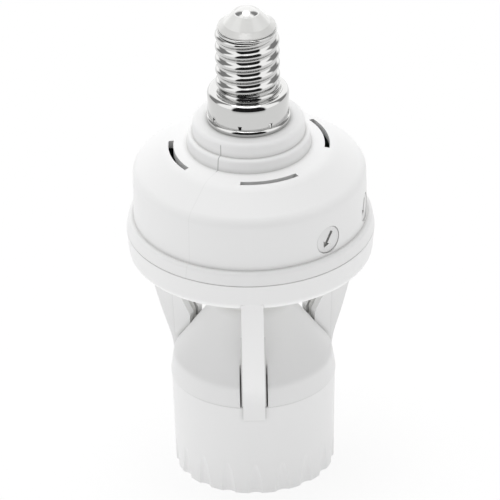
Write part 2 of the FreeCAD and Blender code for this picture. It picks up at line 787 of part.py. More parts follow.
def make_upper_cover():
    """The upper half of the housing with the collar that carries the screw cap."""
    slope = given("cover_wall") / 2
    cover = turned("upper_cover", [
        (spigot_outer_radius, collar_top + given("spigot_height")),
        (spigot_outer_radius, collar_top),
        (given("collar_radius"), collar_top, given("collar_rounding")),
        (given("collar_radius"), parting_level + given("collar_ledge_rise")),
        (collar_ledge, parting_level + given("collar_ledge_rise"),
         given("collar_ledge_rounding")),
        (collar_foot, parting_level + given("collar_foot_rise")),
        (roof_corner, parting_level + given("roof_corner_rise"),
         given("roof_corner_rounding")),
        (wall_outer, parting_level + given("shoulder_rise"), given("shoulder_rounding")),
        (wall_outer, parting_level + given("wall_foot_rise")),
        (flange_top, parting_level + given("wall_foot_rise") - given("flange_top_drop"),
         given("flange_top_rounding")),
        (given("flange_radius"), parting_level + given("parting_bevel")),
        (given("flange_radius") - given("parting_bevel"), parting_level),
        (lip_outer - given("lip_gap"), parting_level),
        (lip_outer - given("lip_gap"), parting_level - given("lip_depth")),
        (wall_inner, parting_level - given("lip_depth")),
        (wall_inner, parting_level + given("shoulder_rise") - slope),
        (roof_inner_corner, roof_inner),
        (collar_bore, roof_inner),
        (collar_bore, collar_top - given("cover_wall")),
        (spigot_bore, collar_top - given("cover_wall")),
        (spigot_bore, collar_top + given("spigot_height")),
    ])
    low = floor_top + given("boss_gap")
    boss = circle(new_sketch(cover, "boss_plan", "XY_Plane", given("post_angle"), low),
                  boss_ring, given("boss_radius"))
    boss_pad = extrude(cover, "boss", boss, given("boss_height"))
    pilot = circle(new_sketch(cover, "boss_pilot", "XY_Plane", given("post_angle"), low),
                   boss_ring, given("screw_radius") + given("screw_pilot_gap"))
    pilot_cut = extrude(cover, "boss_pilot_cut", pilot, given("screw_length"), "Pocket", backwards=True)
    repeat(cover, "bosses", [boss_pad, pilot_cut], given("strut_count"))
    half = given("vent_width") / 2
    vent = outline(
        new_sketch(cover, "vent_section", "XZ_Plane", given("vent_angle")),
        box_corners(vent_ring - half, vent_ring + half,
                    roof_inner - given("cover_wall"),
                    parting_level + given("roof_corner_rise") + given("cover_wall")),
    )
    vent_cut = spin(cover, "vent", vent, "Groove", sweep=given("vent_sweep"))
    repeat(cover, "vents", [vent_cut], given("vent_count"))
    radius = given("dial_radius") + given("dial_running_gap")
    for name, angle in (("time", given("time_dial_angle")), ("lux", given("lux_dial_angle"))):
        sketch = new_sketch(cover, name + "_dial_hole", "XZ_Plane", angle)
        outline(sketch, box_corners(dial_collar_face, given("flange_radius"),
                                    dial_level, dial_level + radius))
        spin(cover, name + "_dial_hole_cut", sketch, "Groove", axis="Edge1")
    return cover


def make_dial(label, angle):
    """A setting dial that turns in the housing wall, with an arrow slot in its face."""
    dial = new_piece(label, angle, dial_level)
    profile = outline(new_sketch(dial, label + "_profile", "XZ_Plane"), [
        (dial_end, size(0)),
        (dial_face, size(0)),
        (dial_face, given("dial_radius"), given("dial_face_rounding")),
        (dial_collar_face, given("dial_radius")),
        (dial_collar_face, given("dial_collar_radius")),
        (dial_collar_face - given("dial_collar_width"), given("dial_collar_radius")),
        (dial_collar_face - given("dial_collar_width"), given("dial_shaft_radius")),
        (dial_end, given("dial_shaft_radius")),
    ])
    spin(dial, label + "_turning", profile, axis="H_Axis")
    neck = given("arrow_half_width")
    arrow = outline(
        new_sketch(dial, label + "_arrow", "YZ_Plane", given("arrow_turn"), dial_face), [
            (-given("arrow_tail"), -neck),
            (given("arrow_barb"), -neck),
            (given("arrow_barb"), -given("arrow_barb_half_width")),
            (given("arrow_tip"), size(0)),
            (given("arrow_barb"), given("arrow_barb_half_width")),
            (given("arrow_barb"), neck),
            (-given("arrow_tail"), neck),
        ])
    extrude(dial, label + "_arrow_slot", arrow, given("arrow_depth"), "Pocket")
    return dial


def make_trimmer(label, angle):
    """The trimmer behind a dial, standing on the board."""
    trimmer = new_piece(label, angle, dial_level)
    low = board_top - dial_level
    side = outline(
        new_sketch(trimmer, label + "_side", "XZ_Plane"),
        box_corners(trimmer_inner, trimmer_outer, low, low + given("trimmer_height")),
    )
    extrude(trimmer, label + "_block", side, given("trimmer_width"), both_ways=True)
    bore = circle(new_sketch(trimmer, label + "_bore", "YZ_Plane", offset=trimmer_outer),
                  size(0), given("dial_shaft_radius") + given("trimmer_bore_gap"))
    extrude(trimmer, label + "_bore_cut", bore, given("trimmer_bore_depth"), "Pocket")
    return trimmer


def make_cover_screws():
    """The three screws that hold the two covers together from below."""
    screws = new_piece("cover_screws")
    low = lower_bottom + given("screw_sink") - given("screw_head_height")
    angle = given("post_angle")
    head = circle(new_sketch(screws, "screw_head_plan", "XY_Plane", angle, low),
                  boss_ring, given("screw_head_radius"))
    head_pad = extrude(screws, "screw_head", head, given("screw_head_height"))
    shank = circle(new_sketch(screws, "screw_shank_plan", "XY_Plane", angle, low),
                   boss_ring, given("screw_radius"))
    shank_pad = extrude(screws, "screw_shank", shank, given("screw_length"))
    middle = boss_ring
    reach = given("recess_reach")
    half = given("recess_half_width")
    recess = outline(new_sketch(screws, "screw_recess_plan", "XY_Plane", angle, low), [
        (middle - reach, -half), (middle - half, -half), (middle - half, -reach),
        (middle + half, -reach), (middle + half, -half), (middle + reach, -half),
        (middle + reach, half), (middle + half, half), (middle + half, reach),
        (middle - half, reach), (middle - half, half), (middle - reach, half),
    ])
    recess_cut = extrude(screws, "screw_recess", recess, given("recess_depth"), "Pocket",
                         backwards=True)
    repeat(screws, "screws_round", [head_pad, shank_pad, recess_cut], given("strut_count"))
    return screws


def make_screw_shell():
    """The metal screw shell of the cap, with its rolled thread and crimped skirt."""
    sheet = given("cap_sheet")
    shell = turned("screw_shell", [
        (given("cap_skirt_radius") - sheet, cap_level),
        (cap_lip, cap_level, given("cap_lip_rounding")),
        (cap_lip, cap_level + given("cap_lip_height"), given("cap_lip_rounding")),
        (cap_groove, cap_level + given("cap_groove_rise")),
        (given("cap_skirt_radius"), cap_level + given("cap_skirt_foot")),
        (given("cap_skirt_radius"), cap_level + given("cap_shoulder_rise"),
         given("cap_shoulder_rounding")),
        (cap_root, cap_level + given("cap_shoulder_rise")),
        (cap_root, cap_level + given("cap_neck_rise")),
        (cap_roll, cap_level + given("cap_roll_rise")),
        (cap_roll, cap_top, given("cap_lip_rounding")),
        (cap_root - sheet, cap_top),
        (cap_root - sheet, cap_level + given("cap_shoulder_rise") - sheet),
        (given("cap_skirt_radius") - sheet, cap_level + given("cap_shoulder_rise") - sheet),
    ])
    half = given("crimp_half_width")
    crimp = outline(
        new_sketch(shell, "crimp_plan", "XY_Plane", given("crimp_angle"), cap_level + given("crimp_level")),
        box_corners(crimp_floor, cap_lip, -half, half),
    )
    crimp_cut = extrude(shell, "crimp", crimp, given("crimp_height"), "Pocket", backwards=True)
    repeat(shell, "crimps", [crimp_cut], given("crimp_count"))
    start = cap_level + given("thread_start_rise")
    root = cap_root - sheet / 2
    wide = given("thread_half_width")
    ridge = outline(
        new_sketch(shell, "thread_section", "XZ_Plane", given("thread_start_angle")),
        [(root, start - wide), (given("thread_crest_radius"), start, given("thread_rounding")),
         (root, start + wide)],
    )
    thread = shell.newObject("PartDesign::AdditiveHelix", "cap_thread")
    thread.Profile = ridge
    thread.ReferenceAxis = (ridge, ["V_Axis"])
    thread.Mode = "pitch-height-angle"
    thread.Pitch = given("thread_pitch").value
    thread.Height = given("thread_rise").value
    thread.setExpression("Pitch", given("thread_pitch").wording)
    thread.setExpression("Height", given("thread_rise").wording)
    return shell


def make_insulator():
    """The glazed insulator that fills the top of the screw shell."""
    bore = given("tip_stem_radius") + given("insulator_gap")
    outer = cap_root - given("cap_sheet") - given("insulator_gap")
    seat = cap_top + given("insulator_gap")
    return turned("cap_insulator", [
        (bore, cap_top - given("insulator_root")),
        (outer, cap_top - given("insulator_root")),
        (outer, seat),
        (insulator_band, seat),
        (insulator_band, seat + given("insulator_band_height")),
        (given("insulator_cone_radius"), cap_top + given("insulator_cone_height")),
        (given("insulator_top_radius"), insulator_top),
        (bore, insulator_top),
    ])


def make_tip():
    """The tip contact with its stem down into the insulator."""
    return turned("tip_contact", [
        (size(0), insulator_top + given("tip_height")),
        (size(0), insulator_top - given("tip_stem_length")),
        (given("tip_stem_radius"), insulator_top - given("tip_stem_length")),
        (given("tip_stem_radius"), insulator_top),
        (given("tip_radius"), insulator_top),
    ], bows={4: dome_radius(given("tip_radius"), given("tip_height"))})


def make_lens():
    """The white sensor lens that bulges through the floor of the housing."""
    outer = lens_opening - given("lens_gap")
    wall = given("lens_wall")
    skirt = lower_bottom - given("lens_skirt")
    return turned("sensor_lens", [
        (size(0), skirt - given("lens_sag")),
        (outer, skirt),
        (outer, floor_top),
        (lens_flange, floor_top),
        (lens_flange, floor_top + wall),
        (outer - wall, floor_top + wall),
        (outer - wall, skirt),
        (size(0), skirt - given("lens_sag") + wall),
    ], bows={
        0: dome_radius(outer, given("lens_sag")),
        6: -dome_radius(outer - wall, given("lens_sag") - wall),
    })


def make_pir_sensor():
    """The sensor can under the board, with a recess for its window."""
    low = board_level - given("pir_height")
    can = turned("pir_sensor", [
        (size(0), low),
        (given("pir_radius"), low, given("cup_edge_rounding")),
        (given("pir_radius"), board_level - given("pir_flange_height")),
        (given("pir_flange_radius"), board_level - given("pir_flange_height")),
        (given("pir_flange_radius"), board_level),
        (size(0), board_level),
    ])
    window = outline(new_sketch(can, "window_recess", "XY_Plane", offset=low), window_corners())
    extrude(can, "window_recess_cut", window, given("pir_window_depth"), "Pocket", backwards=True)
    return can


def window_corners():
    """The outline of the sensor window."""
    length = given("pir_window_half_length")
    width = given("pir_window_half_width")
    return box_corners(-length, length, -width, width)


def make_light_sensor():
    """The daylight sensor beside the movement sensor."""
    body = new_piece("light_sensor")
    low = board_level - given("light_sensor_height")
    plan = circle(new_sketch(body, "light_sensor_plan", "XY_Plane", offset=low),
                  given("light_sensor_place"), given("light_sensor_radius"))
    extrude(body, "light_sensor_can", plan, given("light_sensor_height"))
    return body


def make_board():
    """The round circuit board, staked on three pins."""
    board = new_piece("circuit_board")
    disc = circle(new_sketch(board, "board_plan", "XY_Plane", offset=board_level),
                  size(0), board_edge)
    extrude(board, "board_disc", disc, given("board_thickness"))
    hole = circle(new_sketch(board, "pin_hole", "XY_Plane", given("post_angle"), board_level),
                  post_ring, given("pin_radius") + given("pin_gap"))
    cut = extrude(board, "pin_hole_cut", hole, given("board_thickness") * 2, "Pocket", backwards=True)
    repeat(board, "pin_holes", [cut], given("strut_count"))
    return board


def make_board_parts():
    """The relay, capacitors and chip on top of the board."""
    half = given("relay_depth") / 2
    wide = given("relay_width") / 2
    middle = given("relay_centre")
    block("relay", box_corners(middle - half, middle + half, -wide, wide), board_top,
          given("relay_height"))
    half = given("film_depth") / 2
    wide = given("film_width") / 2
    middle = given("film_centre")
    side = given("film_side")
    block("film_capacitor", box_corners(middle - half, middle + half, side - wide, side + wide),
          board_top, given("film_height"))
    half = given("chip_depth") / 2
    wide = given("chip_width") / 2
    side = given("chip_side")
    block("control_chip", box_corners(-half, half, side - wide, side + wide), board_top,
          given("chip_height"))
    can = new_piece("electrolytic_capacitor", given("can_angle"))
    plan = circle(new_sketch(can, "can_plan", "XY_Plane", offset=board_top),
                  given("can_place"), given("can_radius"))
    extrude(can, "can_body", plan, given("can_height"))


def make_lead(label, angle, path):
    """An insulated lead that follows straight runs joined by bends."""
    lead = new_piece(label, angle)
    spine = outline(new_sketch(lead, label + "_path", "XZ_Plane"), path, closed=False)
    profile = circle(new_sketch(lead, label + "_section", "XY_Plane", offset=path[0][1]),
                     path[0][0], given("lead_radius"))
    doc.recompute()
    pipe = lead.newObject("PartDesign::AdditivePipe", label + "_sweep")
    pipe.Profile = profile
    pipe.Spine = (spine, ["Edge%d" % number for number in range(1, len(spine.Shape.Edges) + 1)])
    return lead


def make_leads():
    """The two leads up to the cap and the two leads down to the socket."""
    bend = given("lead_bend")
    make_lead("cap_live_lead", given("live_angle"), [
        (given("live_ring"), board_top),
        (given("live_ring"), cap_lead_bend, bend),
        (given("insulator_gap"), cap_lead_meet, bend),
        (given("insulator_gap"), insulator_top - given("tip_stem_length") - given("insulator_gap")),
    ])
    make_lead("cap_neutral_lead", given("neutral_angle"), [
        (given("neutral_ring"), board_top),
        (given("neutral_ring"), cap_lead_bend, bend),
        (given("neutral_rise_radius"), cap_lead_meet, bend),
        (given("neutral_rise_radius"), neutral_turn, bend),
        (cap_root - given("cap_sheet") - given("lead_radius"),
         neutral_touch, bend),
        (cap_root - given("cap_sheet") - given("lead_radius"),
         neutral_end),
    ])
    depth = given("lamp_lead_depth")
    path = [
        (lamp_lead_ring, board_level),
        (lamp_lead_ring, lamp_lead_turn, given("lead_tight_bend")),
        (strut_top + depth, lamp_lead_drop, given("lead_tight_bend")),
        (strut_top + depth, lower_bottom, bend),
        (strut_neck + depth, neck_level, bend),
        (strut_slope + depth, slope_top, bend),
        (strut_inner + depth, slope_foot, bend / 2),
        (strut_inner + depth, lead_end_level, given("lead_end_bend")),
    ]
    make_lead("lamp_live_lead", given("strut_angle"), path + [(rivet_place, lead_end_level)])
    make_lead("lamp_neutral_lead", -given("strut_angle"),
              path + [(rivet_ring - given("lead_radius"), lead_end_level)])


def make_insert():
    """The insulating block that carries the lamp contacts."""
    insert = turned("socket_insert", [
        (insert_flange, insert_level),
        (insert_flange, foot_level),
        (insert_body, foot_level),
        (insert_body, insert_level + given("insert_height"),
         given("insert_top_rounding")),
        (size(0), insert_level + given("insert_height")),
        (size(0), insert_level + given("insert_recess_rise")),
        (insert_recess, insert_level + given("insert_recess_rise")),
        (insert_recess, insert_level + given("insert_shell_seat")),
        (lamp_shell + given("lamp_shell_gap"),
         insert_level + given("insert_shell_seat")),
        (lamp_shell + given("lamp_shell_gap"), insert_level),
    ])
    hole = circle(new_sketch(insert, "rivet_hole", "XY_Plane", given("strut_angle"), insert_level),
                  rivet_place, given("rivet_radius"))
    extrude(insert, "rivet_hole_cut", hole, given("insert_height") * 2, "Pocket", backwards=True)
    hole = circle(new_sketch(insert, "shell_rivet_hole", "XY_Plane", -given("strut_angle"), insert_level),
                  rivet_ring, given("shell_rivet_radius"))
    cut = extrude(insert, "shell_rivet_hole_cut", hole, given("insert_height") * 2, "Pocket",
                  backwards=True)
    repeat(insert, "shell_rivet_holes", [cut], size(2))
    return insert


def make_lamp_shell():
    """The threaded metal shell that takes the lamp."""
    top = lamp_shell_top
    shell = turned("socket_thread_shell", [
        (lamp_root, given("lamp_shell_mouth")),
        (lamp_shell, given("lamp_shell_mouth")),
        (lamp_shell, top),
        (lamp_rim, top),
        (lamp_rim, top - given("lamp_shell_sheet")),
        (lamp_root, top - given("lamp_shell_sheet")),
    ])
    hole = circle(new_sketch(shell, "rim_hole", "XY_Plane", -given("strut_angle"), top),
                  rivet_ring, given("shell_rivet_radius"))
    cut = extrude(shell, "rim_hole_cut", hole, given("lamp_shell_sheet") * 2, "Pocket")
    repeat(shell, "rim_holes", [cut], size(2))
    start = lamp_thread_start
    rise = lamp_shell_top - start - given("lamp_thread_run_out")
    root = lamp_root + given("lamp_shell_sheet") / 2
    wide = given("lamp_thread_half_width")
    ridge = outline(
        new_sketch(shell, "lamp_thread_section", "XZ_Plane"),
        [(root, start + wide), (lamp_crest, start, given("lamp_thread_rounding")),
         (root, start - wide)],
    )
    thread = shell.newObject("PartDesign::AdditiveHelix", "lamp_thread")
    thread.Profile = ridge
    thread.ReferenceAxis = (ridge, ["V_Axis"])
    thread.Mode = "pitch-height-angle"
    thread.Pitch = given("lamp_thread_pitch").value
    thread.Height = rise.value
    thread.setExpression("Pitch", given("lamp_thread_pitch").wording)
    thread.setExpression("Height", rise.wording)
    return shell


def make_contacts():
    """The sprung centre contact and the rivets that hold the contacts."""
    plate = insert_level + given("insert_recess_rise")
    leaf = new_piece("centre_contact", given("strut_angle"))
    sheet = given("leaf_sheet")
    side = outline(new_sketch(leaf, "leaf_side", "XZ_Plane"), [
        (leaf_foot, plate),
        (leaf_bend, plate),
        (size(0), plate - given("leaf_drop")),
        (-given("leaf_tip"), plate - given("leaf_drop")),
        (-given("leaf_tip"), plate - given("leaf_drop") - sheet),
        (size(0), plate - given("leaf_drop") - sheet),
        (leaf_bend, plate - sheet),
        (leaf_foot, plate - sheet),
    ])
    extrude(leaf, "leaf_strip", side, given("leaf_width"), both_ways=True)
    top = insert_level + given("insert_height")
    rivet = new_piece("contact_rivet", given("strut_angle"))
    hole = circle(new_sketch(leaf, "leaf_hole", "XY_Plane", offset=plate - sheet * 2),
                  rivet_place, given("rivet_radius"))
    extrude(leaf, "leaf_hole_cut", hole, sheet * 3, "Pocket", backwards=True)
    low = plate - sheet - given("rivet_head_height")
    add_rivet(rivet, "contact_rivet", rivet_place, low, top, given("rivet_radius"),
              given("rivet_head_radius"), given("rivet_head_height"))
    rivets = new_piece("shell_rivets", -given("strut_angle"))
    low = insert_level + given("insert_shell_seat") - given("lamp_shell_sheet")
    features = add_rivet(rivets, "shell_rivet", rivet_ring,
                         low - given("shell_rivet_head_height"), top,
                         given("shell_rivet_radius"), given("shell_rivet_head_radius"),
                         given("shell_rivet_head_height"))
    repeat(rivets, "shell_rivets_round", features, size(2))


def add_rivet(body, name, place, low, high, radius, head_radius, head_height):
    """A rivet with a head at each end, standing off the axis."""
    foot = circle(new_sketch(body, name + "_foot_plan", "XY_Plane", offset=low), place, head_radius)
    foot_pad = extrude(body, name + "_foot", foot, head_height)
    shank = circle(new_sketch(body, name + "_shank_plan", "XY_Plane", offset=low), place, radius)
    shank_pad = extrude(body, name + "_shank", shank, high + head_height - low)
    head = circle(new_sketch(body, name + "_head_plan", "XY_Plane", offset=high), place, head_radius)
    head_pad = extrude(body, name + "_head", head, head_height)
    return [foot_pad, shank_pad, head_pad]


make_cup()
make_hood()
make_lower_cover()
make_upper_cover()
make_dial("time_dial", given("time_dial_angle"))
make_dial("lux_dial", given("lux_dial_angle"))
make_trimmer("time_trimmer", given("time_dial_angle"))
make_trimmer("lux_trimmer", given("lux_dial_angle"))
make_cover_screws()
make_screw_shell()
make_insulator()
make_tip()
make_lens()
make_pir_sensor()
block("pir_window", window_corners(), board_level - given("pir_height"), given("pir_window_depth"))
make_light_sensor()
make_board()
make_board_parts()
make_leads()
make_insert()
make_lamp_shell()
make_contacts()

doc.recompute()

for item in doc.Objects:
    if "Invalid" in item.State or "Error" in item.State:
        raise RuntimeError("%s could not be built: %s" % (item.Label, item.State))
for piece in pieces:
    if piece.Shape.isNull() or not piece.Shape.isValid():
        raise RuntimeError("%s has no sound shape" % piece.Label)

os.makedirs("parts", exist_ok=True)
for piece in pieces:
    piece.Shape.exportStep("parts/%s.step" % piece.Label)
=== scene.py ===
import math

import bmesh
import bpy
from mathutils import Matrix, Vector


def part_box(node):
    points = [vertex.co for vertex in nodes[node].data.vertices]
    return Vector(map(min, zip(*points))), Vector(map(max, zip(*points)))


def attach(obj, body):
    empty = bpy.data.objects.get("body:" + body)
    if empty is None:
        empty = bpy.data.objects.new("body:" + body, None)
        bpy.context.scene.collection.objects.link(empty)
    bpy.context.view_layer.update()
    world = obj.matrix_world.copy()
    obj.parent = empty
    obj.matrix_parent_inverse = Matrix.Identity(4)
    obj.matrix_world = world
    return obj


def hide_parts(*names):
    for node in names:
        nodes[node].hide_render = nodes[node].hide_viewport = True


# A motion sensor lamp holder: screw cap, round sensor housing, three struts and a fluted lamp socket

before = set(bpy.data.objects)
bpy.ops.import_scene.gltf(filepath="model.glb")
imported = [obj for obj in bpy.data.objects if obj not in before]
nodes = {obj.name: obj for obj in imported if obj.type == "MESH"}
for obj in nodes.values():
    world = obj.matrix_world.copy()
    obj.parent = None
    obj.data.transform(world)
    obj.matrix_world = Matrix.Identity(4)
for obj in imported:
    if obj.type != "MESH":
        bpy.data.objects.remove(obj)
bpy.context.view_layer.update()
MM = 0.001

# Camera: the photograph looks down by 30.4 degrees, and its upright axis leans 1.12 degrees to the left
VIEW_DOWN = math.radians(30.4)
VIEW_ROLL = math.radians(1.12)
VIEW_DISTANCE = 5.0
PIXELS_PER_METRE = 4657.0
PHOTO_WIDTH = 500.0
LOOK_AT = Vector((-0.24 * MM, 0.0, 50.93 * MM))


def set_camera():
    """Put the camera where the photograph was taken from."""
    data = bpy.data.cameras.new("photo_camera")
    data.sensor_width = 36.0
    data.lens = PIXELS_PER_METRE * VIEW_DISTANCE / PHOTO_WIDTH * data.sensor_width
    data.clip_start = 0.1
    data.clip_end = 30.0
    camera = bpy.data.objects.new("photo_camera", data)
    bpy.context.scene.collection.objects.link(camera)
    back = Vector((0.0, -math.cos(VIEW_DOWN), math.sin(VIEW_DOWN)))
    upright = Matrix.Rotation(math.pi / 2 - VIEW_DOWN, 4, "X") @ Matrix.Rotation(-VIEW_ROLL, 4, "Z")
    camera.matrix_world = Matrix.Translation(LOOK_AT + back * VIEW_DISTANCE) @ upright
    bpy.context.scene.camera = camera


set_camera()


# Nodes of the materials and of the light
def linear(hex_colour):
    """A colour written as sRGB hex, as the linear colour a shader takes."""
    channels = [int(hex_colour[i:i + 2], 16) / 255 for i in (1, 3, 5)]
    return [c / 12.92 if c <= 0.04045 else ((c + 0.055) / 1.055) ** 2.4 for c in channels] + [1.0]


def add(owner, kind, settings=None, **links):
    """Add a node to a material or the world, with its settings and what each socket takes.

    A socket goes by its name, or by its number, as in _6, where two share a name.
    It takes a value or another node's socket.
    """
    node = owner.node_tree.nodes.new(kind)
    for name, value in (settings or {}).items():
        setattr(node, name, value)
    for name, value in links.items():
        socket = node.inputs[int(name[1:])] if name[0] == "_" else node.inputs[name.replace("_", " ")]
        if isinstance(value, bpy.types.NodeSocket):
            owner.node_tree.links.new(value, socket)
        else:
            socket.default_value = value
    return node


def new_material(name):
    """An empty material; the caller adds its nodes."""
    material = bpy.data.materials.new(name)
    material.use_nodes = True
    material.node_tree.nodes.clear()
    return material


def finish_material(material, shader):
    """Join the shader to the material's output."""
    add(material, "ShaderNodeOutputMaterial", Surface=shader.outputs[0])
    return material


def reach_of(material, place):
    """The distance of a place from the upright axis."""
    flat = add(material, "ShaderNodeVectorMath", {"operation": "MULTIPLY"}, _0=place, _1=(1.0, 1.0, 0.0))
    reach = add(material, "ShaderNodeVectorMath", {"operation": "LENGTH"}, _0=flat.outputs["Vector"])
    return reach.outputs["Value"]


def replace_colour(material, share, colour):
    """Mix another colour into a material's base colour: none where the share is 0, all where it is 1."""
    socket = material.node_tree.nodes["Principled BSDF"].inputs["Base Color"]
    tone = add(material, "ShaderNodeMix", {"data_type": "RGBA"}, _0=share,
               _6=socket.links[0].from_socket, _7=linear(colour))
    material.node_tree.links.new(tone.outputs[2], socket)


# White mouldings: the grain, swell and crease are widths, the crease grey is painted shade, and heights
# are above the cup's mouth
ETCHED_GRAIN = 0.25 * MM
WALL_SWELL = 12 * MM
CREASE_WIDTH = 1.2 * MM
# Painted shade: the grey painted into creases, flutes and joints.
PAINTED_CREASE_SHADE = "#D8D8D7"
RIM_LOW = 0.8 * MM
RIM_HIGH = 1.8 * MM
# The mould's halves met on an upright plane 33.5 degrees left of the front, 0.7 mm off the axis.
SEAM_TURN = math.radians(-33.5)
SEAM_OFF_AXIS = 0.7 * MM
SEAM_HALF_WIDTH = 0.04 * MM
SEAM_FADE = 0.18 * MM
SEAM_GREY = "#BBBBBA"
# The seam is plain on the collar, nearly dressed away on roof and wall, and stops below the top.
COLLAR_REACH = 13.6 * MM
ROOF_REACH = 14.4 * MM
DRESSED_SHARE = 0.10
SEAM_TOP = 82.9 * MM
SEAM_END = 83.4 * MM


def satin_white_moulding(name, base):
    """White plastic from an etched mould: an even satin sheen, and painted shade that greys its creases.
    """
    white = new_material(name)
    place = add(white, "ShaderNodeTexCoord").outputs["Object"]
    # The mould's etching is only just felt.
    grain = add(white, "ShaderNodeTexNoise", Vector=place, Scale=1 / ETCHED_GRAIN, Detail=2.0)
    bump = add(white, "ShaderNodeBump", Strength=0.10, Distance=0.02 * MM, Height=grain.outputs["Fac"])
    # The wall's slow unevenness bends the sheen a little.
    swell = add(white, "ShaderNodeTexNoise", Vector=place, Scale=1 / WALL_SWELL, Detail=1.0)
    rough = add(white, "ShaderNodeMapRange", Value=swell.outputs["Fac"], To_Min=0.46, To_Max=0.56)
    # Painted shade: flutes, creases and joints are painted greyer than open faces, the more enclosed the
    # greyer, but not the rim that stands on the floor.
    crease = add(white, "ShaderNodeAmbientOcclusion", {"samples": 8}, Distance=CREASE_WIDTH)
    clear = add(white, "ShaderNodeMapRange", Value=crease.outputs["AO"], From_Min=0.55, From_Max=0.97)
    height = add(white, "ShaderNodeSeparateXYZ", Vector=place).outputs["Z"]
    rim = add(white, "ShaderNodeMapRange", Value=height, From_Min=RIM_LOW, From_Max=RIM_HIGH,
              To_Min=1.0, To_Max=0.0)
    share = add(white, "ShaderNodeMath", {"operation": "MAXIMUM"}, _0=clear.outputs["Result"],
                _1=rim.outputs["Result"])
    colour = add(white, "ShaderNodeMix", {"data_type": "RGBA"}, _0=share.outputs[0],
                 _6=linear(PAINTED_CREASE_SHADE), _7=linear(base))
    shader = add(white, "ShaderNodeBsdfPrincipled", Base_Color=colour.outputs[2], IOR=1.42,
                 Roughness=rough.outputs["Result"], Normal=bump.outputs["Normal"])
    return finish_material(white, shader)


def show_parting_line(material):
    """Draw the fine raised line where the two halves of the mould met."""
    place = add(material, "ShaderNodeTexCoord").outputs["Object"]
    side = add(material, "ShaderNodeVectorMath", {"operation": "DOT_PRODUCT"},
               _0=place, _1=(math.cos(SEAM_TURN), math.sin(SEAM_TURN), 0.0))
    off = add(material, "ShaderNodeMath", {"operation": "SUBTRACT"},
              _0=side.outputs["Value"], _1=SEAM_OFF_AXIS)
    near = add(material, "ShaderNodeMath", {"operation": "ABSOLUTE"}, _0=off.outputs[0])
    line = add(material, "ShaderNodeMapRange", {"interpolation_type": "SMOOTHSTEP"},
               Value=near.outputs[0], From_Min=SEAM_HALF_WIDTH, From_Max=SEAM_FADE,
               To_Min=1.0, To_Max=0.0)
    worn = add(material, "ShaderNodeMapRange", {"interpolation_type": "SMOOTHSTEP"},
               Value=reach_of(material, place), From_Min=COLLAR_REACH, From_Max=ROOF_REACH,
               To_Min=1.0, To_Max=DRESSED_SHARE)
    height = add(material, "ShaderNodeSeparateXYZ", Vector=place).outputs["Z"]
    below = add(material, "ShaderNodeMapRange", {"interpolation_type": "SMOOTHSTEP"},
                Value=height, From_Min=SEAM_TOP, From_Max=SEAM_END, To_Min=1.0, To_Max=0.0)
    kept = add(material, "ShaderNodeMath", {"operation": "MULTIPLY"}, _0=worn.outputs["Result"],
               _1=below.outputs["Result"])
    shown = add(material, "ShaderNodeMath", {"operation": "MULTIPLY"}, _0=line.outputs["Result"],
                _1=kept.outputs[0])
    replace_colour(material, shown.outputs[0], SEAM_GREY)
    normal = material.node_tree.nodes["Principled BSDF"].inputs["Normal"]
    ridge = add(material, "ShaderNodeBump", Strength=0.3, Distance=0.03 * MM,
                Height=shown.outputs[0], Normal=normal.links[0].from_socket)
    material.node_tree.links.new(ridge.outputs["Normal"], normal)


def recolour(material, near, far, near_share, colour):
    """Another colour near the upright axis or away from it; it changes from near to far, in mm."""
    place = add(material, "ShaderNodeTexCoord").outputs["Object"]
    share = add(material, "ShaderNodeMapRange", {"interpolation_type": "SMOOTHSTEP"},
                Value=reach_of(material, place), From_Min=near * MM, From_Max=far * MM,
                To_Min=near_share, To_Max=1.0 - near_share)
    replace_colour(material, share.outputs["Result"], colour)


# Metals: marks 4 mm long round the piece and a twelfth of that apart, which is as coarse as they show
DRAW_MARK = 4 * MM
MARKS_PER_LENGTH = 12.0


def bright_metal(name, base, roughness, spread):
    """Plated, drawn or cast metal: a mirror with faint marks round it."""
    metal = new_material(name)
    place = add(metal, "ShaderNodeTexCoord").outputs["Object"]
    rings = add(metal, "ShaderNodeMapping", Vector=place, Scale=(1.0, 1.0, MARKS_PER_LENGTH))
    marks = add(metal, "ShaderNodeTexNoise", Vector=rings.outputs["Vector"], Scale=1 / DRAW_MARK,
                Detail=3.0)
    rough = add(metal, "ShaderNodeMapRange", Value=marks.outputs["Fac"], To_Min=roughness,
                To_Max=roughness + spread)
    shader = add(metal, "ShaderNodeBsdfPrincipled", Base_Color=linear(base), Metallic=1.0,
                 Roughness=rough.outputs["Result"])
    return finish_material(metal, shader)


def plain_solid(name, base, roughness, grain_mm, tint):
    """A moulded, lacquered or sleeved solid: a soft mottle of two near colours and a light grain."""
    solid = new_material(name)
    place = add(solid, "ShaderNodeTexCoord").outputs["Object"]
    mottle = add(solid, "ShaderNodeTexNoise", Vector=place, Scale=1 / (grain_mm * MM), Detail=3.0)
    colour = add(solid, "ShaderNodeMix", {"data_type": "RGBA"}, _0=mottle.outputs["Fac"],
                 _6=linear(base), _7=linear(tint))
    bump = add(solid, "ShaderNodeBump", Strength=0.15, Distance=0.03 * MM, Height=mottle.outputs["Fac"])
    shader = add(solid, "ShaderNodeBsdfPrincipled", Base_Color=colour.outputs[2], Roughness=roughness,
                 Normal=bump.outputs["Normal"])
    return finish_material(solid, shader)


# Reaches from the axis in millimetres, where a dial's arrow slot and the insulator's rim begin; the
# insulator's rim is painted greyer as painted shade
ARROW_FLOOR = 24.58
DIAL_FACE = 24.66
RIM_SHADE_FROM = 4.98
RIM_SHADE_FULL = 5.14

# Moulded ABS: flat white with a soft sheen, and on the upper cover the parting line.
white_with_seam = satin_white_moulding("satin_white_abs_with_parting_line", "#F0F0F0")
show_parting_line(white_with_seam)
white_plain = satin_white_moulding("satin_white_abs", "#F0F0F0")
